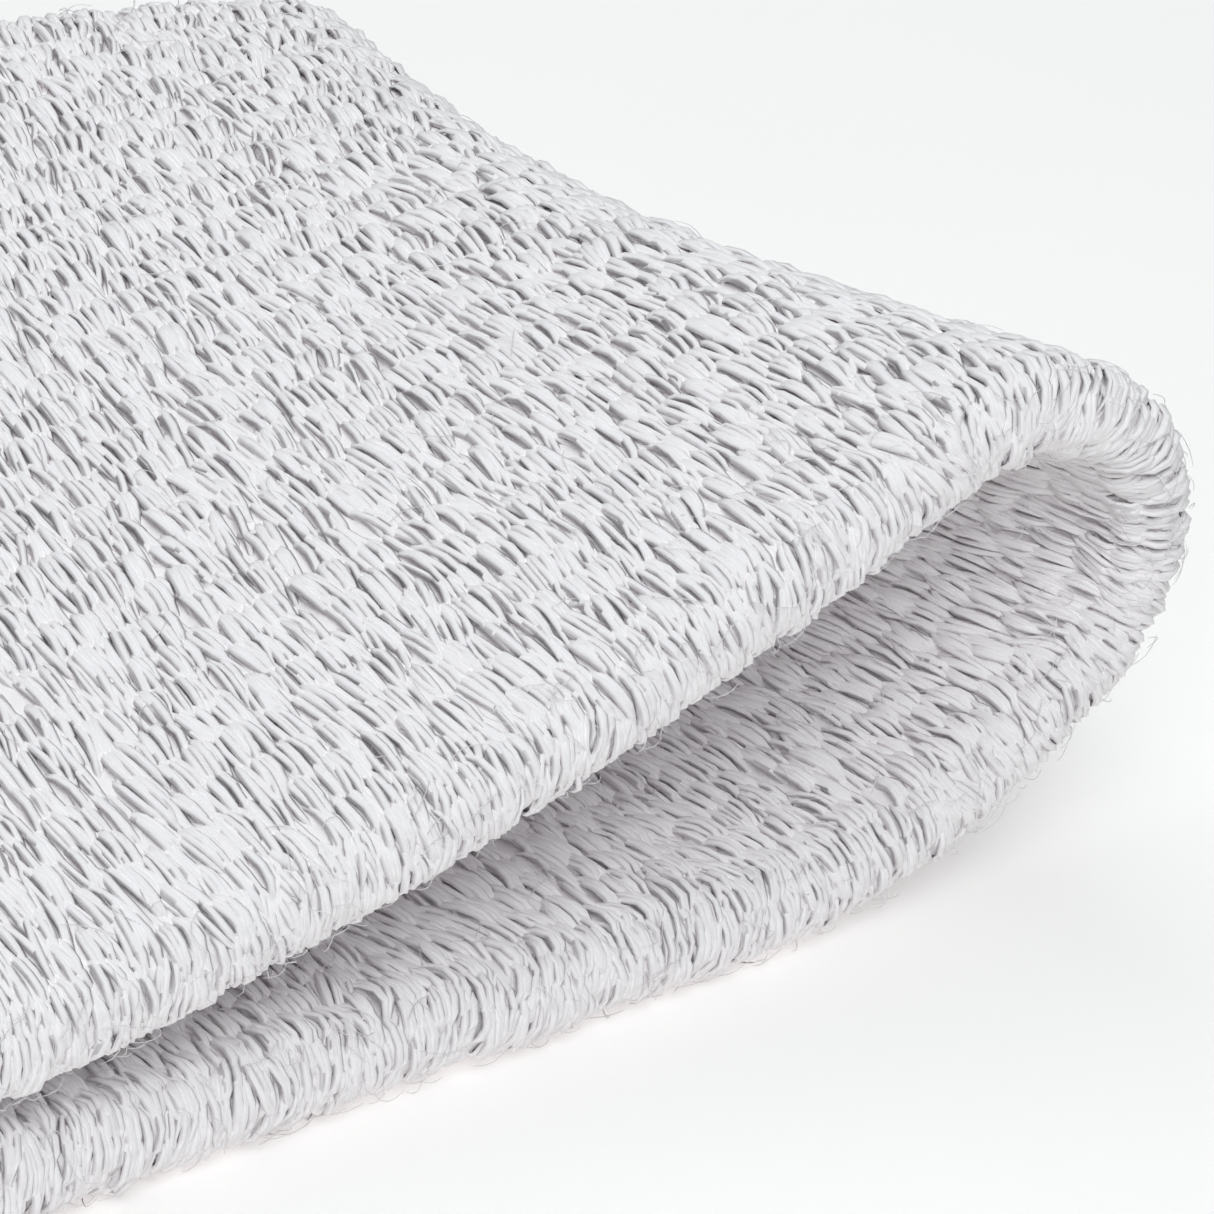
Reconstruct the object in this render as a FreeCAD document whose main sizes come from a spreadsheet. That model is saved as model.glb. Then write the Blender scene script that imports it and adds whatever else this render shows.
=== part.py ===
"""Double-ply terry sports headband, lying nearly flat with both of its folds open.

The band is one knitted terry sleeve turned double, a closed strip of two plies that runs round
a loop. X runs along the flattened loop, Y across the width of the band, and Z up from the
surface it lies on. Both ends are alike, so each piece is made for X >= 0 and mirrored.

Seen from the side the loop is a chain of tangent lines and arcs: flat bottom run, low bend,
fold, top run, flat top. The near edge sags until the top lies on the bottom run and the far
edge stands open, so the sizes change evenly from the near edge, v = 0, to the far edge, v = 1.
"""
import FreeCAD, Part
import math
import os
from collections import namedtuple

from FreeCAD import Rotation, Vector
from Sketcher import Constraint

DRIVING = {
    "band_width": 55.0,
    "stack": 4.4,
    "pile_height": 1.0,
    "ground_height": 0.6,
    "pressed_depth": 0.05,
    "near_bottom": 75.0,
    "far_bottom": 68.0,
    "low_radius": 23.0,
    "low_angle": 51.0,
    "near_fold": 7.7,
    "far_fold": 4.3,
    "near_droop": 28.0,
    "far_droop": -7.0,
    "near_top_run": 64.5,
    "far_top_run": 61.0,
    "waist_pinch": 4.8,
    "yarn_size": 0.5,
    "yarn_depth": 0.3,
    "yarn_pitch": 4.0,
    "seam_width": 2.8,
    "seam_height": 1.0,
    "thread_size": 0.4,
    "tail_length": 14.0,
    "tail_place": 30.0,
}
PLY_SPANS = 8
YARNS_PER_SIDE = 6
LEAST_RESTING_GAP = 0.2

# Outward offsets from the middle of the two plies, as expressions of the sheet's cells.
FACE = "dims.stack / 2"
LOOSE_FACE = "(dims.stack / 2 + dims.pressed_depth)"
BACK = "(dims.stack / 2 - dims.pile_height)"
INSIDE = "(dims.stack / 2 - dims.pile_height - dims.ground_height)"

# Sketcher's numbers for a line's or an arc's ends, and for its own origin and upright axis.
START, END = 1, 2
ORIGIN, UPRIGHT_AXIS = -1, -2

Size = namedtuple("Size", "text value")
Station = namedtuple("Station", "v y sizes")

doc = FreeCAD.newDocument("sports_headband")


def make_sheet():
    """Puts the driving dimensions in a spreadsheet, an alias to each."""
    sheet = doc.addObject("Spreadsheet::Sheet", "dims")
    for row, (alias, value) in enumerate(DRIVING.items(), start=1):
        sheet.set(f"A{row}", alias)
        sheet.set(f"B{row}", str(value))
        sheet.setAlias(f"B{row}", alias)
    doc.recompute()
    return sheet


dims = make_sheet()


def size(text):
    """An expression with its present value."""
    return Size(f"({text})", float(dims.evalExpression(text.replace("dims.", ""))))


def station(v_text):
    """The loop's sizes at a place across the band, where v_text runs from 0 to 1."""
    v = size(v_text)

    def between(name):
        return f"dims.near_{name} * (1 - {v.text}) + dims.far_{name} * {v.text}"

    sizes = {name: size(between(name)) for name in ("fold", "droop", "top_run")}
    pinch = f"dims.waist_pinch * sin(180 * {v.text})"
    sizes["bottom"] = size(f"{between('bottom')} - {pinch}")
    sizes["low_radius"] = size("dims.low_radius")
    sizes["low_angle"] = size("dims.low_angle")
    y = size(f"(dims.band_width - dims.stack) * ({v.text} - 0.5)")
    return Station(v, y, sizes)


def station_beside_middle(distance):
    """The station at a distance from the band's middle line, positive to the far edge."""
    return station(f"0.5 + ({distance}) / (dims.band_width - dims.stack)")


def arc(centre, radius, first, last):
    """An arc in a sketch's own plane, anticlockwise between two angles in radians."""
    circle = Part.Circle(Vector(centre[0], centre[1], 0), Vector(0, 0, 1), radius)
    return Part.ArcOfCircle(circle, first, last)


def line(x1, z1, x2, z2):
    return Part.LineSegment(Vector(x1, z1, 0), Vector(x2, z2, 0))


def half_loop(at, offset):
    """The two lines and three arcs of the loop's right half, at an outward offset."""
    bottom, low, fold = (at.sizes[k].value for k in ("bottom", "low_radius", "fold"))
    rise, droop = (math.radians(at.sizes[k].value) for k in ("low_angle", "droop"))
    top = at.sizes["top_run"].value / droop
    n = offset.value
    middle = dims.stack / 2
    right = math.pi / 2
    low_centre = (bottom, middle + low)
    fold_centre = (
        bottom + (low - fold) * math.sin(rise),
        middle + low - (low - fold) * math.cos(rise),
    )
    top_centre = (
        fold_centre[0] - (fold + top) * math.sin(droop),
        fold_centre[1] + (fold + top) * math.cos(droop),
    )
    level = top_centre[1] - top + n
    top_angles = (3 * right, 3 * right + droop) if droop > 0 else (right + droop, right)
    return [
        line(0, middle - n, bottom, middle - n),
        arc(low_centre, low + n, -right, rise - right),
        arc(fold_centre, fold + n, rise - right, right + droop),
        arc(top_centre, abs(top - n), *top_angles),
        line(top_centre[0], level, 0, level),
    ]


def add_half_loop(sketch, at, offset, name):
    """Draws half a loop in a sketch, constrains it fully and binds its sizes to the sheet."""
    bottom, low, fold, top, level = sketch.addGeometry(half_loop(at, offset))
    sags = at.sizes["droop"].value > 0
    top_in, top_out = (END, START) if sags else (START, END)
    rules = [
        Constraint("Horizontal", bottom),
        Constraint("PointOnObject", bottom, START, UPRIGHT_AXIS),
        Constraint("Tangent", bottom, END, low, START),
        Constraint("Tangent", low, END, fold, START),
        Constraint("Tangent", fold, END, top, top_in),
        Constraint("Tangent", top, top_out, level, START),
        Constraint("Horizontal", level),
        Constraint("PointOnObject", level, END, UPRIGHT_AXIS),
    ]
    sketch.addConstraint(rules)
    text = {k: s.text for k, s in at.sizes.items()}
    radius = f"{text['top_run']} * 180 / pi / {text['droop']} - {offset.text}"
    driven = {
        "height": (
            Constraint("DistanceY", ORIGIN, START, bottom, START, dims.stack / 2 - offset.value),
            f"(dims.stack / 2 - {offset.text}) * 1 mm",
        ),
        "run": (
            Constraint("DistanceX", bottom, START, bottom, END, at.sizes["bottom"].value),
            f"{text['bottom']} * 1 mm",
        ),
        "low": (
            Constraint("Radius", low, at.sizes["low_radius"].value + offset.value),
            f"({text['low_radius']} + {offset.text}) * 1 mm",
        ),
        "rise": (
            Constraint("Angle", low, math.radians(at.sizes["low_angle"].value)),
            f"{text['low_angle']} * 1 deg",
        ),
        "fold": (
            Constraint("Radius", fold, at.sizes["fold"].value + offset.value),
            f"({text['fold']} + {offset.text}) * 1 mm",
        ),
        "turn": (
            Constraint("Angle", fold, math.radians(turn_of(at))),
            f"(180 - {text['low_angle']} + {text['droop']}) * 1 deg",
        ),
        "top": (
            Constraint("Radius", top, abs(size(radius).value)),
            f"abs({radius}) * 1 mm",
        ),
    }
    for key, (rule, expression) in driven.items():
        number = sketch.addConstraint(rule)
        sketch.renameConstraint(number, f"{name}_{key}")
        sketch.setExpression(f"Constraints.{name}_{key}", expression)
    return bottom, level


def turn_of(at):
    """The angle that the fold's arc turns through, in degrees."""
    return 180 - at.sizes["low_angle"].value + at.sizes["droop"].value


def new_body(label):
    body = doc.addObject("PartDesign::Body", label)
    body.Label = label
    return body


def new_sketch(body, name, role):
    """An empty sketch on one of the body's own origin planes."""
    sketch = body.newObject("Sketcher::SketchObject", f"{body.Name}_{name}")
    plane = next(f for f in body.Origin.OriginFeatures if f.Role == role)
    sketch.AttachmentSupport = [(plane, "")]
    sketch.MapMode = "FlatFace"
    return sketch


def side_sketch(body, name, at):
    """A sketch seen from the side, at a station's place across the band."""
    sketch = new_sketch(body, name, "XZ_Plane")
    sketch.setExpression("AttachmentOffset.Base.z", f"-{at.y.text} * 1 mm")
    return sketch


def mirror_to_other_end(body, feature):
    """Completes a body that was made for X >= 0."""
    mirror = body.newObject("PartDesign::Mirrored", f"{body.Name}_both_ends")
    plane = next(f for f in body.Origin.OriginFeatures if f.Role == "YZ_Plane")
    mirror.Originals = [feature]
    mirror.MirrorPlane = (plane, [""])
    body.Tip = mirror


def layer(label, outer, inner):
    """A knitted layer between two offsets, lofted across the band from edge to edge."""
    body = new_body(label)
    sections = []
    for number in range(PLY_SPANS + 1):
        at = station(f"{number} / {PLY_SPANS}")
        sketch = side_sketch(body, f"section_{number}", at)
        low_out, top_out = add_half_loop(sketch, at, size(outer), "outer")
        low_in, top_in = add_half_loop(sketch, at, size(inner), "inner")
        ends = ((low_out, START, low_in, START), (top_out, END, top_in, END))
        for first, first_end, second, second_end in ends:
            a, b = sketch.getPoint(first, first_end), sketch.getPoint(second, second_end)
            closing = sketch.addGeometry(Part.LineSegment(a, b))
            sketch.addConstraint(Constraint("Coincident", closing, START, first, first_end))
            sketch.addConstraint(Constraint("Coincident", closing, END, second, second_end))
        sections.append(sketch)
    loft = body.newObject("PartDesign::AdditiveLoft", f"{label}_half")
    loft.Profile = sections[0]
    loft.Sections = sections[1:]
    loft.Ruled = True
    mirror_to_other_end(body, loft)
    return body


def press_flat(body):
    """Cuts away what lies below the surface that the band rests on, which leaves a flat face."""
    footprint = new_sketch(body, "footprint", "XY_Plane")
    reach = 2 * dims.near_bottom
    corners = [(-reach, -reach), (reach, -reach), (reach, reach), (-reach, reach)]
    sides = [line(*a, *b) for a, b in zip(corners, corners[1:] + corners[:1])]
    names = footprint.addGeometry(sides)
    for first, second in zip(names, names[1:] + names[:1]):
        footprint.addConstraint(Constraint("Coincident", first, END, second, START))
    for number, name in enumerate(names):
        rule = "Vertical" if number % 2 else "Horizontal"
        footprint.addConstraint(Constraint(rule, name))
    opposite = (names[0], START, names[2], START, ORIGIN, START)
    footprint.addConstraint(Constraint("Symmetric", *opposite))
    for name in names[:2]:
        number = footprint.addConstraint(Constraint("Distance", name, 2 * reach))
        footprint.setExpression(f"Constraints[{number}]", "4 * dims.near_bottom * 1 mm")
    pocket = body.newObject("PartDesign::Pocket", f"{body.Name}_pressed")
    pocket.Profile = footprint
    pocket.Type = "Length"
    pocket.setExpression("Length", "dims.stack * 1 mm")
    body.Tip = pocket
    return body


def swept(label, at, offset, draw_profile):
    """A piece of constant section that follows the loop at a station and an offset."""
    body = new_body(label)
    path = side_sketch(body, "path", at)
    add_half_loop(path, at, size(offset), "path")
    profile = new_sketch(body, "profile", "YZ_Plane")
    draw_profile(profile, at, size(f"dims.stack / 2 - {offset}"))
    pipe = body.newObject("PartDesign::AdditivePipe", f"{label}_half")
    pipe.Profile = profile
    pipe.Spine = (path, [f"Edge{n}" for n in range(1, 6)])
    mirror_to_other_end(body, pipe)
    return body


def place_point(sketch, element, point, y, z):
    """Binds a point of a sketch on the YZ plane to expressions for Y and Z."""
    for key, where in (("X", y), ("Y", z)):
        rule = Constraint(f"Distance{key}", ORIGIN, START, element, point, where.value)
        number = sketch.addConstraint(rule)
        sketch.setExpression(f"Constraints[{number}]", f"{where.text} * 1 mm")


def draw_round(sketch, at, z, diameter):
    """A round yarn or thread."""
    across = size(diameter)
    middle = Vector(at.y.value, z.value, 0)
    ring = sketch.addGeometry(Part.Circle(middle, Vector(0, 0, 1), across.value / 2))
    place_point(sketch, ring, 3, at.y, z)
    number = sketch.addConstraint(Constraint("Diameter", ring, across.value))
    sketch.setExpression(f"Constraints[{number}]", f"{across.text} * 1 mm")


def draw_edge_roll(sketch, at, z, side):
    """Half a disc as deep as both plies, where the sleeve turns from one ply to the other."""
    radius = dims.stack / 2
    first = math.pi / 2 if side < 0 else -math.pi / 2
    bow = sketch.addGeometry(arc((at.y.value, z.value), radius, first, first + math.pi))
    ends = [sketch.getPoint(bow, end) for end in (START, END)]
    back = sketch.addGeometry(Part.LineSegment(*ends))
    sketch.addConstraint(
        [
            Constraint("Coincident", back, START, bow, START),
            Constraint("Coincident", back, END, bow, END),
            Constraint("Vertical", back),
            Constraint("PointOnObject", bow, 3, back),
        ]
    )
    place_point(sketch, bow, 3, at.y, z)
    number = sketch.addConstraint(Constraint("Radius", bow, radius))
    sketch.setExpression(f"Constraints[{number}]", "dims.stack / 2 * 1 mm")


def draw_ridge(sketch, at, z):
    """The joined raw edges of the sleeve, pressed flat between the plies."""
    wide, high = size("dims.seam_width"), size("dims.seam_height")
    y1, y2 = at.y.value - wide.value / 2, at.y.value + wide.value / 2
    z1, z2 = z.value - high.value / 2, z.value + high.value / 2
    sides = [line(y1, z1, y2, z1), line(y2, z1, y2, z2), line(y2, z2, y1, z2), line(y1, z2, y1, z1)]
    low, far, top, near = sketch.addGeometry(sides)
    for first, second in ((low, far), (far, top), (top, near), (near, low)):
        sketch.addConstraint(Constraint("Coincident", first, END, second, START))
    sketch.addConstraint([Constraint("Horizontal", low), Constraint("Horizontal", top)])
    sketch.addConstraint([Constraint("Vertical", far), Constraint("Vertical", near)])
    corner_y = size(f"{at.y.text} - dims.seam_width / 2")
    corner_z = size(f"{z.text} - dims.seam_height / 2")
    place_point(sketch, low, START, corner_y, corner_z)
    for element, reach in ((low, wide), (far, high)):
        number = sketch.addConstraint(Constraint("Distance", element, reach.value))
        sketch.setExpression(f"Constraints[{number}]", f"{reach.text} * 1 mm")


def group(label, members):
    """One node of several separate solids."""
    together = doc.addObject("Part::Compound", label)
    together.Label = label
    together.Links = members
    return together


def edge_roll(label, place, side):
    """One rounded edge of the band."""

    def draw(sketch, at, z):
        draw_edge_roll(sketch, at, z, side)

    return swept(label, station(place), "0", draw)


def elastic_yarns(label, offset):
    """Covered elastic yarns laid into one ply, evenly spaced on both sides of the seam."""

    def draw(sketch, at, z):
        draw_round(sketch, at, z, "dims.yarn_size")

    steps = [s for s in range(-YARNS_PER_SIDE, YARNS_PER_SIDE + 1) if s]
    rings = []
    for number, step in enumerate(steps, start=1):
        at = station_beside_middle(f"dims.yarn_pitch * {step}")
        rings.append(swept(f"{label}_{number}", at, offset, draw))
    return group(label, rings)


def linking_thread(label):
    """The thread that joins the sleeve's raw edges: a run on each side of them, and its tail."""

    def draw(sketch, at, z):
        draw_round(sketch, at, z, "dims.thread_size")

    beside = "(dims.seam_width + dims.thread_size) / 2"
    runs = [
        swept(f"{label}_{name}", station_beside_middle(f"{sign}{beside}"), "0", draw)
        for name, sign in (("near_run", "-"), ("far_run", ""))
    ]
    tail = doc.addObject("Part::Cylinder", f"{label}_tail")
    tail.setExpression("Radius", "dims.thread_size / 2 * 1 mm")
    tail.setExpression("Height", "dims.tail_length * 1 mm")
    tail.Placement.Rotation = Rotation(Vector(0, 1, 0), 90)
    tail.setExpression("Placement.Base.x", "dims.tail_place * 1 mm")
    tail.setExpression("Placement.Base.y", f"({beside} + dims.thread_size) * 1 mm")
    tail.setExpression("Placement.Base.z", "dims.stack / 2 * 1 mm")
    return group(label, runs + [tail])


def make_parts():
    """Every piece of the headband, from the outer face inwards."""
    return [
        press_flat(layer("outer_pile", LOOSE_FACE, BACK)),
        layer("outer_ground_knit", BACK, INSIDE),
        layer("inner_ground_knit", f"-{INSIDE}", f"-{BACK}"),
        layer("inner_pile", f"-{BACK}", f"-{FACE}"),
        edge_roll("near_edge_roll", "0", -1),
        edge_roll("far_edge_roll", "1", 1),
        elastic_yarns("outer_elastic_yarns", "dims.yarn_depth"),
        elastic_yarns("inner_elastic_yarns", "-dims.yarn_depth"),
        swept("seam_allowance", station("0.5"), "0", draw_ridge),
        linking_thread("linking_thread"),
    ]


def resting_gap():
    """The gap between the flat top and the bottom run at the near edge."""
    level = half_loop(station("0"), size("0"))[-1]
    return level.StartPoint.y - 1.5 * dims.stack


def check(parts):
    """Stops before anything is written if a feature failed or a solid is not sound."""
    for item in doc.Objects:
        if {"Invalid", "Error"} & set(item.State):
            raise RuntimeError(f"{item.Label} failed: {item.State}")
    for part in parts:
        if part.Shape.isNull() or not part.Shape.isValid():
            raise RuntimeError(f"{part.Label} is not valid")
    if resting_gap() < LEAST_RESTING_GAP:
        raise RuntimeError("the near edge's top run sinks into its bottom run")


def main():
    parts = make_parts()
    doc.recompute()
    check(parts)
    os.makedirs("parts", exist_ok=True)
    for part in parts:
        part.Shape.exportStep(f"parts/{part.Label}.step")
        solids, volume = len(part.Shape.Solids), part.Shape.Volume
        print(f"{part.Label}: {solids} solids, {volume:.0f} mm3")
    print(f"resting gap {resting_gap():.2f} mm")


main()
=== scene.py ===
"""Terry sports headband: a knitted sleeve turned double, with every pile loop modelled.

Lengths are in metres, in the frame of the CAD model. A place on the band is given by u, which
runs from 0 to 1 once round the loop, t, a distance round the band's own cross-section, and h, a
height above the tops of the pile, below them if negative. surface() turns the three into a point.
"""

import math

import bpy
import numpy as np
from mathutils import Matrix, Vector


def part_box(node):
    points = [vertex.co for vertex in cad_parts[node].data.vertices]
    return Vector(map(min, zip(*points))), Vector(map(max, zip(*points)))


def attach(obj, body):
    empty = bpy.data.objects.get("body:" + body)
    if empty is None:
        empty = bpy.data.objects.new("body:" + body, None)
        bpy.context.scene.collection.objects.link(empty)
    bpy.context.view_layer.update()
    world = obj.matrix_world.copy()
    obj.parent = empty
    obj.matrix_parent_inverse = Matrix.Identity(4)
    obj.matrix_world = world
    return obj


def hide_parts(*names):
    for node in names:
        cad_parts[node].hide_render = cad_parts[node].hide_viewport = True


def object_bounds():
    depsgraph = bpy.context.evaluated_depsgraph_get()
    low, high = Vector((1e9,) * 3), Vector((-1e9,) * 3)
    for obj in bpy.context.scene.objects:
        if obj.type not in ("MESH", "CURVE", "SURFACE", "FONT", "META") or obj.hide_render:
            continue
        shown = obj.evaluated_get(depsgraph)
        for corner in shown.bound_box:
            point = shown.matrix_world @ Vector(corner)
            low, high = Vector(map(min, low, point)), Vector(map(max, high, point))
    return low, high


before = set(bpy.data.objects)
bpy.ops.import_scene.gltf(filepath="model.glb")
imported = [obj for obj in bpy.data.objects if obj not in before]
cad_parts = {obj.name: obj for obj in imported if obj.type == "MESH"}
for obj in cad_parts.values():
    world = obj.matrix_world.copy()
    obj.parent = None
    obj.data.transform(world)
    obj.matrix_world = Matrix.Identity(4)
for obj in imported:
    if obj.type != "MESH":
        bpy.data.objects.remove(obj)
cad_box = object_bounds()

MM = 0.001
RNG = np.random.default_rng(41)

# The band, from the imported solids: the radius of a rolled edge, which is also half the thickness
# of the two plies, and how far from the band's middle the rolls begin.
EDGE_LOW, EDGE_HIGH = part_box("near_edge_roll")
ROLL = EDGE_HIGH[1] - EDGE_LOW[1]
EDGE = -EDGE_HIGH[1]

# The loop seen from the side, as in the CAD model. Pairs are for the near edge and the far one. The
# near edge bows outward, most at the middle of the band's length.
BOTTOM_RUN = (75.0 * MM, 68.0 * MM)
LOW_RADIUS = 23.0 * MM
LOW_ANGLE = math.radians(51)
FOLD_RADIUS = (7.7 * MM, 4.3 * MM)
DROOP = (math.radians(28), math.radians(-7))
TOP_RUN = (64.5 * MM, 61.0 * MM)
WAIST_PINCH = 4.8 * MM
EDGE_BOW = 1.8 * MM
EDGE_BOW_REACH = 80 * MM

# The cross-section's outline: outer face, near roll, inner face, far roll.
FACE_WIDTH = 2 * EDGE
ROLL_ARC = math.pi * ROLL
SECTION = 2 * (FACE_WIDTH + ROLL_ARC)

# The knit. Neighbouring rows of loops are half a column apart. The ground knit is a wall that lies
# a little way under the tops of the pile.
COLUMNS = 239
ROWS = 75
ROWS_IN_PIECE = 3
ROW_PITCH = SECTION / ROWS
PILE = 0.64 * MM
GROUND_DEPTH = 0.85 * PILE
GROUND_WALL = 1.05 * MM
SLEEVE_STEPS = (480, 120)
LOOP_LENGTH = 3.1 * MM
LOOP_WIDTH = 1.8 * MM

# How the loops lie. Lean is sideways, as a share of the length, and root is the share of a loop
# that lies before its own row. Neighbouring loops rise and lean together in clumps, made of waves
# that run so many times along the band and round its section. Over the rolled edges the loops are
# longer and lower. Each loop is lower at its sides and narrower at its ends.
LEAN = 0.12
ROOT = 0.15
CLUMP_SEED = 5
CLUMP_WAVES = 6
CLUMPS_ALONG = (5, 40)
CLUMPS_ACROSS = (2, 14)
CLUMP_LEAN = 0.08
CLUMP_RISE = 0.10
EDGE_LENGTHENS = 0.30
EDGE_LOWERS = 0.25
EDGE_REACH = 3.4 * MM
SIDES_LOWER = 0.35
ENDS_NARROW = 0.45
WIDEST_PLACE = 0.45

# How much loops differ from one another, and fibres within a loop: shares, and then distances.
LOOP_SPREAD = 0.10
LOOP_LEAN_SPREAD = 0.11
FIBRE_LEAN_SPREAD = 0.08
FIBRE_LENGTH_SPREAD = 0.12
FIBRE_THICKNESS_SPREAD = 0.15
LOOP_SIDE_SHIFT = 0.07 * MM
LOOP_ROW_SHIFT = 0.08 * MM
FIBRE_RISE_SHIFT = 0.07 * MM
FIBRE_SWIRL = 0.09 * MM

# One loop is a bundle of fibres that arch over together. A fibre is a thin spindle. Each of its
# rings is a place along it, a height as a share of the loop's, and a share of its thickness.
RINGS = (
    (0.00, -0.25, 0.0),
    (0.09, 0.34, 0.8),
    (0.29, 0.88, 1.0),
    (0.50, 1.00, 1.0),
    (0.71, 0.82, 1.0),
    (0.90, 0.38, 0.75),
    (1.00, 0.02, 0.0),
)
FIBRES = 8
FIBRE_SIDES = 3
FIBRE_HALF_WIDTH = 0.24 * MM
FIBRE_HALF_HEIGHT = 0.13 * MM

# Loose hairs that stand off the pile, most of them along the edges.
HAIRS = 4200
HAIRS_BY_EDGES = 0.6
HAIRS_EDGE_SPREAD = 0.45 * ROLL_ARC
HAIR_LENGTH = 1.7 * MM
HAIR_LENGTH_SHARES = (0.5, 1.3)
HAIR_RISE = 0.42 * MM
HAIR_RISE_SHARES = (0.3, 1.0)
HAIR_ROOT = 0.15 * MM
HAIR_BEND = 0.25 * MM
HAIR_ARCH = 0.75 * math.pi
HAIR_RADIUS = 0.022 * MM

# The seam that joins the sleeve's two raw edges, in the hollow between the plies.
SEAM_LOW, SEAM_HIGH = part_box("seam_allowance")
SEAM_WIDTH = SEAM_HIGH[1] - SEAM_LOW[1]
SEAM_HEIGHT = 2 * (ROLL - SEAM_LOW[2])
SEAM_SIDES = 14
SEAM_STEPS_PER_COLUMN = 5
SEAM_FULLNESS = 0.90
SEAM_RAGGED = 0.04
STITCH_PULL = 0.22
SEAM_FLATTENED = 0.3

# The studio.
FLOOR_REACH = 1.5
FLOOR_CLEARANCE = 0.02 * MM
LIGHT_TARGET = (0.06, 0, 0)
LIGHT_COLOUR = (0.95, 0.99, 1.0)


def wander(size, width):
    """Random values about nought."""
    return RNG.normal(0, width, size)


def between(ends, v):
    """A size that changes evenly from the near edge, v = 0, to the far edge, v = 1."""
    return ends[0] + (ends[1] - ends[0]) * v


def runs(v):
    """Length and turn of each stretch of half the loop, from the bottom's middle to the top's."""
    bottom = between(BOTTOM_RUN, v) - WAIST_PINCH * np.sin(np.pi * v)
    fold = between(FOLD_RADIUS, v)
    droop = between(DROOP, v)
    top = between(TOP_RUN, v)
    fold_turn = np.pi - LOW_ANGLE + droop
    reach = bottom + (LOW_RADIUS - fold) * math.sin(LOW_ANGLE) - fold * np.sin(droop)
    level = reach - top * np.sinc(droop / np.pi)
    straight = np.zeros_like(droop)
    return [
        (bottom, straight),
        (LOW_RADIUS * LOW_ANGLE + straight, LOW_ANGLE + straight),
        (fold * fold_turn, fold_turn),
        (top, -droop),
        (level, straight),
    ]


def loop_length(v):
    """The whole way round at one place across the band."""
    return 2 * sum(length for length, _ in runs(v))


def middle_line(u, v):
    """X and Z midway between the two plies, and the loop's outward direction there.

    Each stretch turns evenly, so it is crossed by its chord. The left half mirrors the right.
    """
    stretches = runs(v)
    half = sum(length for length, _ in stretches)
    way = np.mod(u, 1) * 2 * half
    left = way > half
    way = np.where(left, 2 * half - way, way)
    x, z = np.zeros_like(way), np.full_like(way, ROLL)
    heading, done = np.zeros_like(way), np.zeros_like(way)
    for length, turn in stretches:
        part = np.clip(way - done, 0, length)
        angle = turn * part / length
        chord = part * np.sinc(angle / 2 / np.pi)
        x = x + chord * np.cos(heading + angle / 2)
        z = z + chord * np.sin(heading + angle / 2)
        heading = heading + angle
        done = done + length
    side = np.where(left, -1.0, 1.0)
    return side * x, z, side * np.sin(heading), -np.cos(heading)


def surface(u, t, h):
    """Points of the band, for arrays u, t and h. Those under the floor are pressed flat on it."""
    u, t, h = np.broadcast_arrays(np.asarray(u, float), np.mod(t, SECTION), h)
    near_roll, inner, far_roll = FACE_WIDTH, FACE_WIDTH + ROLL_ARC, SECTION - ROLL_ARC
    on_near = (t >= near_roll) & (t < inner)
    on_inner = (t >= inner) & (t < far_roll)
    on_far = t >= far_roll
    angle = np.where(on_near, (t - near_roll) / ROLL, np.where(on_far, (t - far_roll) / ROLL, 0))
    y = np.where(on_inner, t - inner - EDGE, EDGE - t)
    y = np.where(on_near, -EDGE, np.where(on_far, EDGE, y))
    outward = np.where(on_inner, -1, np.where(on_far, -np.cos(angle), np.cos(angle)))
    across = np.where(on_near, -np.sin(angle), np.where(on_far, np.sin(angle), 0))
    v = (y + EDGE) / FACE_WIDTH
    x, z, normal_x, normal_z = middle_line(u, v)
    deep = ROLL + h
    bow = EDGE_BOW * np.clip(1 - (x / EDGE_BOW_REACH) ** 2, 0, 1) * (1 - v) ** 2
    points = [
        x + normal_x * outward * deep,
        y + across * deep - bow,
        np.maximum(z + normal_z * outward * deep, 0),
    ]
    return np.stack(points, axis=-1)


def core(u, y, rise):
    """Points between the plies, rise above the middle line, for places y across the band."""
    v = (y + EDGE) / FACE_WIDTH
    x, z, normal_x, normal_z = middle_line(u + 0 * v, v)
    return np.stack([x + normal_x * rise, y + 0 * x, z + normal_z * rise], axis=-1)


def across_place(t):
    """How far across the band, 0 to 1, a place round the section lies."""
    t = np.mod(t, SECTION)
    y = np.where(t < FACE_WIDTH + ROLL_ARC / 2, EDGE - t, t - FACE_WIDTH - ROLL_ARC - EDGE)
    return (np.clip(y, -EDGE, EDGE) + EDGE) / FACE_WIDTH


def new_mesh(name, points, corners, sizes, around=None):
    """An object from flat arrays: points, the corners of all faces, and each face's size. around,
    if given, is two numbers for each corner, kept as the coordinates called fibre."""
    mesh = bpy.data.meshes.new(name)
    mesh.vertices.add(len(points))
    mesh.vertices.foreach_set("co", points.astype(np.float32).ravel())
    mesh.loops.add(len(corners))
    mesh.loops.foreach_set("vertex_index", corners.astype(np.int32))
    mesh.polygons.add(len(sizes))
    starts = np.concatenate([[0], np.cumsum(sizes)[:-1]])
    mesh.polygons.foreach_set("loop_start", starts.astype(np.int32))
    if around is not None:
        mesh.uv_layers.new(name="fibre").data.foreach_set("uv", around.astype(np.float32).ravel())
    mesh.update(calc_edges=True)
    mesh.shade_smooth()
    piece = bpy.data.objects.new(name, mesh)
    bpy.context.scene.collection.objects.link(piece)
    return piece


def tube_faces(rounds, sides, first, flip):
    """Faces of a grid that closes on itself both ways."""
    i, j = np.meshgrid(np.arange(rounds), np.arange(sides), indexing="ij")
    i2, j2 = (i + 1) % rounds, (j + 1) % sides
    quads = np.stack([i * sides + j, i * sides + j2, i2 * sides + j2, i2 * sides + j], -1)
    quads = quads.reshape(-1, 4)
    return first + (quads[:, ::-1] if flip else quads)


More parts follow.
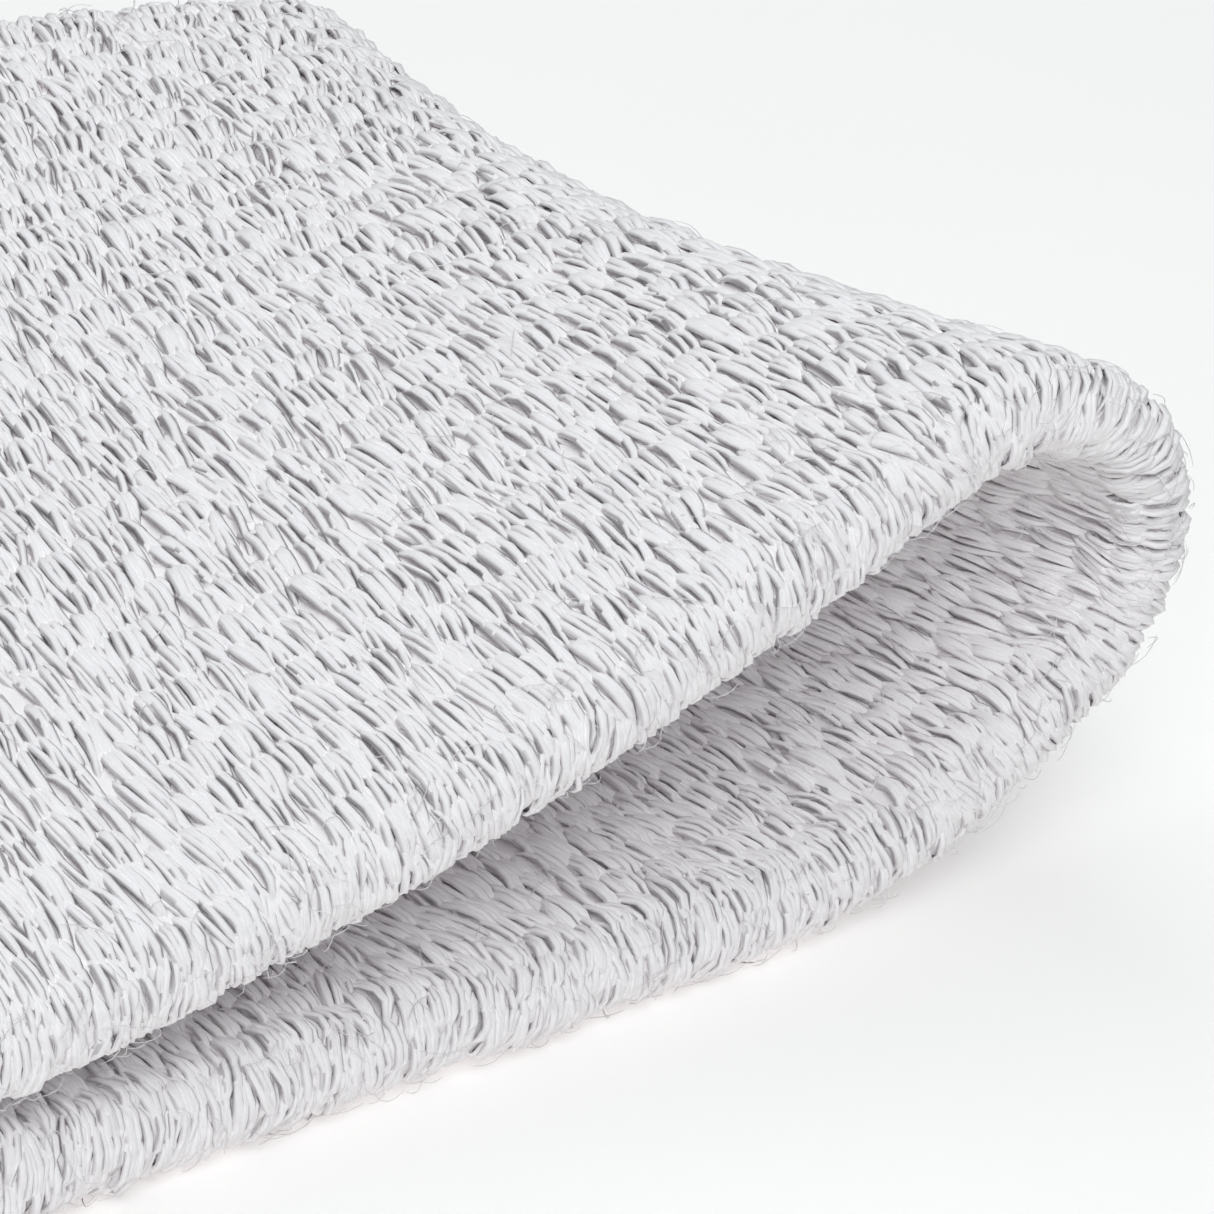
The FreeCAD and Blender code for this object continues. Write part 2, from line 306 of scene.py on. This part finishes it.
def make_sleeve():
    """The ground knit: a wall that turns over at both edges, hollow between the plies."""
    rounds, sides = SLEEVE_STEPS
    u = np.arange(rounds)[:, None] / rounds
    t = np.arange(sides)[None, :] * SECTION / sides
    outer = surface(u, t, -GROUND_DEPTH).reshape(-1, 3)
    inner = surface(u, t, -GROUND_DEPTH - GROUND_WALL).reshape(-1, 3)
    faces = [
        tube_faces(rounds, sides, 0, flip=False),
        tube_faces(rounds, sides, rounds * sides, flip=True),
    ]
    quads = np.concatenate(faces)
    points = np.concatenate([outer, inner])
    return new_mesh("terry_sleeve", points, quads.ravel(), np.full(len(quads), 4))


def make_seam():
    """The joined raw edges: a soft ragged ridge, drawn in by its stitches."""
    rounds, sides = COLUMNS * SEAM_STEPS_PER_COLUMN, SEAM_SIDES
    u = np.arange(rounds)[:, None] / rounds
    angle = np.arange(sides)[None, :] * 2 * math.pi / sides
    drawn = 1 - STITCH_PULL * np.cos(2 * math.pi * COLUMNS * u) ** 4
    ragged = drawn * (SEAM_FULLNESS + wander((rounds, sides), SEAM_RAGGED))
    y = SEAM_WIDTH / 2 * ragged * np.cos(angle)
    flattened = 1 - SEAM_FLATTENED * np.cos(angle) ** 2
    rise = SEAM_HEIGHT / 2 * ragged * np.sin(angle) * flattened
    quads = tube_faces(rounds, sides, 0, flip=False)
    points = core(u, y, rise).reshape(-1, 3)
    return new_mesh("seam_ridge", points, quads.ravel(), np.full(len(quads), 4))


def fibre_template():
    """A fibre's points, its faces, and each corner's place round it and along it.

    A point is a place, a height, a thickness, a slope and an angle.
    """
    place, height, thick = np.array(RINGS).T
    rings = list(zip(place, height, thick, np.gradient(height, place)))
    points, corners, sizes, around = [(*rings[0], 0.0)], [], [], []
    for ring in rings[1:-1]:
        points += [(*ring, math.pi * (0.5 + 2 * k / FIBRE_SIDES)) for k in range(FIBRE_SIDES)]
    points.append((*rings[-1], 0.0))
    last_ring = len(rings) - 2
    for k in range(FIBRE_SIDES):
        after = (k + 1) % FIBRE_SIDES
        corners += [0, 1 + after, 1 + k]
        around += [(k + 0.5, 0), (k + 1, place[1]), (k, place[1])]
        sizes.append(3)
        for ring in range(1, last_ring):
            a, b = 1 + (ring - 1) * FIBRE_SIDES, 1 + ring * FIBRE_SIDES
            here, there = place[ring], place[ring + 1]
            corners += [a + k, a + after, b + after, b + k]
            around += [(k, here), (k + 1, here), (k + 1, there), (k, there)]
            sizes.append(4)
        end = 1 + (last_ring - 1) * FIBRE_SIDES
        corners += [end + k, end + after, len(points) - 1]
        around += [(k, place[-2]), (k + 1, place[-2]), (k + 0.5, 1)]
        sizes.append(3)
    return np.array(points), np.array(corners), np.array(sizes), np.array(around)


def smooth_noise(u, t, seed):
    """A slow rise and fall over the band, mostly within -1 to 1, the same at u = 0 and u = 1."""
    waves = np.random.default_rng(seed)
    total = 0
    for _ in range(CLUMP_WAVES):
        along, across = waves.integers(*CLUMPS_ALONG), waves.integers(*CLUMPS_ACROSS)
        phase = waves.random() * 2 * math.pi
        total = total + np.sin(2 * math.pi * (along * u + across * t / SECTION) + phase)
    return total / (CLUMP_WAVES / 2)


def many_fibres(name, points):
    """One piece from the points of many fibres, each with its own stretch of fibre noise."""
    template, corners, sizes, around = fibre_template()
    total = len(points) // len(template)
    number = np.arange(total)[:, None]
    around = np.stack([around[:, 0] + 0 * number, around[:, 1] + number], axis=-1)
    all_corners = (number * len(template) + corners).ravel()
    return new_mesh(name, points, all_corners, np.tile(sizes, total), around)


def lay_fibres(first):
    """How each fibre of some neighbouring rows lies, as columns with a value for each fibre.

    They are u and t, the whole way round the band there, the lean, length and rise, the place
    across the loop, the swirl and the stoutness.
    """
    per_loop, shape = (ROWS_IN_PIECE, COLUMNS, 1), (ROWS_IN_PIECE, COLUMNS, FIBRES)
    rows = first + np.arange(ROWS_IN_PIECE)[:, None, None]
    columns = np.arange(COLUMNS)[None, :, None]
    t = rows * ROW_PITCH + wander(per_loop, LOOP_ROW_SHIFT)
    u = (columns + (rows % 2) / 2) / COLUMNS
    clump = smooth_noise(u, t, CLUMP_SEED)
    from_edge = np.mod(t + LOOP_LENGTH / 2, SECTION / 2) - FACE_WIDTH - ROLL_ARC / 2
    edge = np.exp(-((from_edge / EDGE_REACH) ** 2))

    lean = LEAN + CLUMP_LEAN * clump + wander(per_loop, LOOP_LEAN_SPREAD)
    lean = lean + wander(shape, FIBRE_LEAN_SPREAD)
    longer = 1 + EDGE_LENGTHENS * edge + wander(per_loop, LOOP_SPREAD)
    length = LOOP_LENGTH * (longer + wander(shape, FIBRE_LENGTH_SPREAD))
    lane = RNG.uniform(-1, 1, shape)
    higher = 1 + CLUMP_RISE * clump + wander(per_loop, LOOP_SPREAD)
    rise = PILE * (higher - SIDES_LOWER * lane**2 - EDGE_LOWERS * edge)
    side = lane * LOOP_WIDTH / 2 * (1 + wander(per_loop, LOOP_SPREAD))
    side = side + wander(per_loop, LOOP_SIDE_SHIFT)
    rise = rise + wander(shape, FIBRE_RISE_SHIFT)
    swirl = wander(shape, FIBRE_SWIRL)
    stout = 1 + wander(shape, FIBRE_THICKNESS_SPREAD)

    turn = loop_length(across_place(t))
    facts = (u, t, turn, lean, length, rise, side, swirl, stout)
    return [np.broadcast_to(values, shape).reshape(-1, 1) for values in facts]


def make_pile_rows(first):
    """The loops of a few neighbouring rows of the knit."""
    u, t, turn, lean, length, rise, side, swirl, stout = lay_fibres(first)
    place, height, thick, rate, angle = fibre_template()[0].T
    along = place * length
    slope = rate * rise / length
    steep = np.sqrt(1 + slope**2)
    narrow = 1 - ENDS_NARROW * (2 * place - 2 * WIDEST_PLACE) ** 2
    wide = FIBRE_HALF_WIDTH * stout * thick * np.cos(angle)
    tall = FIBRE_HALF_HEIGHT * stout * thick * np.sin(angle)
    a = side * narrow + lean * along + swirl * np.sin(math.pi * place) + wide
    b = along - ROOT * length - tall * slope / steep
    h = height * rise - PILE + tall / steep - FIBRE_HALF_HEIGHT
    points = surface(u + a / turn, t + b, h).reshape(-1, 3)
    return many_fibres(f"pile_rows_{first // ROWS_IN_PIECE + 1:02d}", points)


def make_hairs():
    """Fine stray hairs, each a low arch in its own direction."""
    place, _, thick, _, angle = fibre_template()[0].T
    edge = RNG.random(HAIRS) < HAIRS_BY_EDGES
    by_near_edge = FACE_WIDTH + ROLL_ARC / 2 + wander(HAIRS, HAIRS_EDGE_SPREAD)
    by_edge = by_near_edge + (RNG.random(HAIRS) < 0.5) * SECTION / 2
    t = np.where(edge, by_edge, RNG.random(HAIRS) * SECTION)[:, None]
    u, heading = RNG.random((HAIRS, 1)), RNG.uniform(-math.pi, math.pi, (HAIRS, 1))
    length = HAIR_LENGTH * RNG.uniform(*HAIR_LENGTH_SHARES, (HAIRS, 1))
    rise = HAIR_RISE * RNG.uniform(*HAIR_RISE_SHARES, (HAIRS, 1))
    bend = wander((HAIRS, 1), HAIR_BEND) * np.sin(math.pi * place)
    wide, tall = HAIR_RADIUS * thick * np.cos(angle), HAIR_RADIUS * thick * np.sin(angle)
    along, across = place * length, bend + wide
    a = along * np.sin(heading) + across * np.cos(heading)
    b = along * np.cos(heading) - across * np.sin(heading)
    h = rise * np.sin(HAIR_ARCH * place) - HAIR_ROOT + tall
    points = surface(u + a / loop_length(across_place(t)), t + b, h).reshape(-1, 3)
    return many_fibres("stray_hairs", points)


def principled(name, colour, roughness):
    """A material with a Principled shader, and its node tree."""
    material = bpy.data.materials.new(name)
    material.use_nodes = True
    shader = material.node_tree.nodes["Principled BSDF"]
    shader.inputs["Base Color"].default_value = (*colour, 1)
    shader.inputs["Roughness"].default_value = roughness
    shader.inputs["Specular IOR Level"].default_value = 0.25
    return material, material.node_tree, shader


def noise(tree, scale, detail):
    """Noise in the piece's own coordinates, with a number of cells a metre along each axis."""
    where = tree.nodes.new("ShaderNodeTexCoord")
    mapping = tree.nodes.new("ShaderNodeMapping")
    mapping.inputs["Scale"].default_value = scale
    texture = tree.nodes.new("ShaderNodeTexNoise")
    texture.inputs["Scale"].default_value = 1.0
    texture.inputs["Detail"].default_value = detail
    tree.links.new(where.outputs["Object"], mapping.inputs["Vector"])
    tree.links.new(mapping.outputs["Vector"], texture.inputs["Vector"])
    return texture.outputs["Fac"]


def ramp(tree, value, dark, light):
    """Turns noise, which lies mostly from 0.3 to 0.7, into a colour between two."""
    node = tree.nodes.new("ShaderNodeValToRGB")
    node.color_ramp.elements[0].position = 0.3
    node.color_ramp.elements[1].position = 0.7
    node.color_ramp.elements[0].color = (*dark, 1)
    node.color_ramp.elements[1].color = (*light, 1)
    tree.links.new(value, node.inputs["Fac"])
    return node.outputs["Color"]


def bump(tree, shader, value, depth, strength):
    """Dents a shader's surface by a noise value."""
    node = tree.nodes.new("ShaderNodeBump")
    node.inputs["Distance"].default_value = depth
    node.inputs["Strength"].default_value = strength
    tree.links.new(value, node.inputs["Height"])
    tree.links.new(node.outputs["Normal"], shader.inputs["Normal"])


def pile_material():
    """Soft white microfibre yarn, streaked along each fibre like a bundle of finer filaments."""
    material, tree, shader = principled("terry_pile_yarn", (0.965, 0.937, 0.948), 0.9)
    where = tree.nodes.new("ShaderNodeUVMap")
    where.uv_map = "fibre"
    stretch = tree.nodes.new("ShaderNodeMapping")
    stretch.inputs["Scale"].default_value = (3.2, 1.7, 1.0)
    filaments = tree.nodes.new("ShaderNodeTexNoise")
    filaments.inputs["Scale"].default_value = 1.0
    filaments.inputs["Detail"].default_value = 1.5
    tree.links.new(where.outputs["UV"], stretch.inputs["Vector"])
    tree.links.new(stretch.outputs["Vector"], filaments.inputs["Vector"])
    colour = ramp(tree, filaments.outputs["Fac"], (0.95, 0.918, 0.931), (0.98, 0.955, 0.965))
    tree.links.new(colour, shader.inputs["Base Color"])
    bump(tree, shader, filaments.outputs["Fac"], 0.05 * MM, 0.6)
    return material


def ground_material():
    """The fine knit under the pile."""
    material, tree, shader = principled("ground_knit_yarn", (0.95, 0.93, 0.94), 0.95)
    stitches = noise(tree, (1800, 1200, 1800), 3.0)
    colour = ramp(tree, stitches, (0.93, 0.90, 0.912), (0.96, 0.933, 0.945))
    tree.links.new(colour, shader.inputs["Base Color"])
    bump(tree, shader, stitches, 0.2 * MM, 0.7)
    return material


def wound_material(name, dark, light, roughness):
    """A wound yarn or thread, with a fine grain."""
    material, tree, shader = principled(name, light, roughness)
    grain = noise(tree, (5000, 5000, 5000), 2.0)
    tree.links.new(ramp(tree, grain, dark, light), shader.inputs["Base Color"])
    bump(tree, shader, grain, 0.05 * MM, 0.6)
    return material


def floor_material():
    """A pale sheet, a little lit from below."""
    material, tree, shader = principled("pale_floor", (0.97, 0.955, 0.94), 0.9)
    grain = noise(tree, (40, 40, 40), 2.0)
    colour = ramp(tree, grain, (0.965, 0.95, 0.935), (0.975, 0.96, 0.945))
    tree.links.new(colour, shader.inputs["Base Color"])
    shader.inputs["Emission Color"].default_value = (1, 1, 1, 1)
    shader.inputs["Emission Strength"].default_value = 0.17
    return material


def make_camera():
    """Looks down at the right-hand fold from the near left, from a quarter of a metre."""
    turn, down, roll = math.radians(38.3), math.radians(31.26), math.radians(6.53)
    distance = 0.2545
    from_end, from_middle = 10.3 * MM, 0.4 * MM
    low, high = cad_box
    target = Vector((high[0] - from_end, (low[1] + high[1]) / 2 - from_middle, 0))
    forward = Vector(
        (math.sin(turn) * math.cos(down), math.cos(turn) * math.cos(down), -math.sin(down))
    )
    level = Vector((math.cos(turn), -math.sin(turn), 0))
    upright = level.cross(forward)
    right = math.cos(roll) * level + math.sin(roll) * upright
    up = math.cos(roll) * upright - math.sin(roll) * level
    data = bpy.data.cameras.new("camera")
    data.sensor_width = 36
    data.lens = 165.5
    data.clip_start = 0.01
    camera = bpy.data.objects.new("camera", data)
    turned = Matrix((right, up, -forward)).transposed().to_4x4()
    camera.matrix_world = Matrix.Translation(target - forward * distance) @ turned
    bpy.context.scene.collection.objects.link(camera)
    bpy.context.scene.camera = camera


def make_light(name, place, size, power):
    """A square soft light in a slightly cool white, turned to the band's right half."""
    data = bpy.data.lights.new(name, "AREA")
    data.shape = "SQUARE"
    data.size = size
    data.energy = power
    data.color = LIGHT_COLOUR
    lamp = bpy.data.objects.new(name, data)
    lamp.location = place
    aim = Vector(LIGHT_TARGET) - Vector(place)
    lamp.rotation_euler = aim.to_track_quat("-Z", "Y").to_euler()
    bpy.context.scene.collection.objects.link(lamp)


def make_studio():
    """A pale floor under a dim white sky, with two large soft lights."""
    corners = np.array([(-1, -1, 0), (1, -1, 0), (1, 1, 0), (-1, 1, 0)]) * FLOOR_REACH
    floor = new_mesh("floor", corners, np.arange(4), np.array([4]))
    floor.data.materials.append(floor_material())
    floor.location.z = -FLOOR_CLEARANCE
    world = bpy.data.worlds.new("studio")
    world.use_nodes = True
    sky = world.node_tree.nodes["Background"]
    sky.inputs["Color"].default_value = (0.95, 0.98, 1.0, 1)
    sky.inputs["Strength"].default_value = 0.14
    bpy.context.scene.world = world
    make_light("key", (-0.18, -0.54, 0.74), size=0.70, power=5.4)
    make_light("overhead", (0.0, 0.35, 0.90), size=0.90, power=3.6)
    scene = bpy.context.scene
    scene.view_settings.view_transform = "Standard"
    scene.cycles.diffuse_bounces = 16


def carry_over(node, material):
    """A CAD node that stays, in a material of its own."""
    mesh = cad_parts[node].data
    mesh.materials.clear()
    mesh.materials.append(material)


def place_piece(piece, material):
    """Gives a piece its material and slot, and fixes it to the band's one body."""
    piece.data.materials.append(material)
    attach(piece, "root")


make_camera()
make_studio()

knit = ground_material()
sleeve = make_sleeve()
place_piece(sleeve, knit)
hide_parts("outer_pile", "outer_ground_knit", "near_edge_roll")
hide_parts("inner_pile", "inner_ground_knit", "far_edge_roll")
seam = make_seam()
place_piece(seam, knit)
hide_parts("seam_allowance")

pile = pile_material()
pile_pieces = [make_pile_rows(row) for row in range(0, ROWS, ROWS_IN_PIECE)] + [make_hairs()]
for piece in pile_pieces:
    place_piece(piece, pile)

elastic = wound_material("covered_elastic_yarn", (0.74, 0.72, 0.70), (0.86, 0.845, 0.83), 0.6)
thread = wound_material("linking_thread_yarn", (0.80, 0.79, 0.80), (0.92, 0.91, 0.92), 0.55)
carry_over("outer_elastic_yarns", elastic)
carry_over("inner_elastic_yarns", elastic)
carry_over("linking_thread", thread)
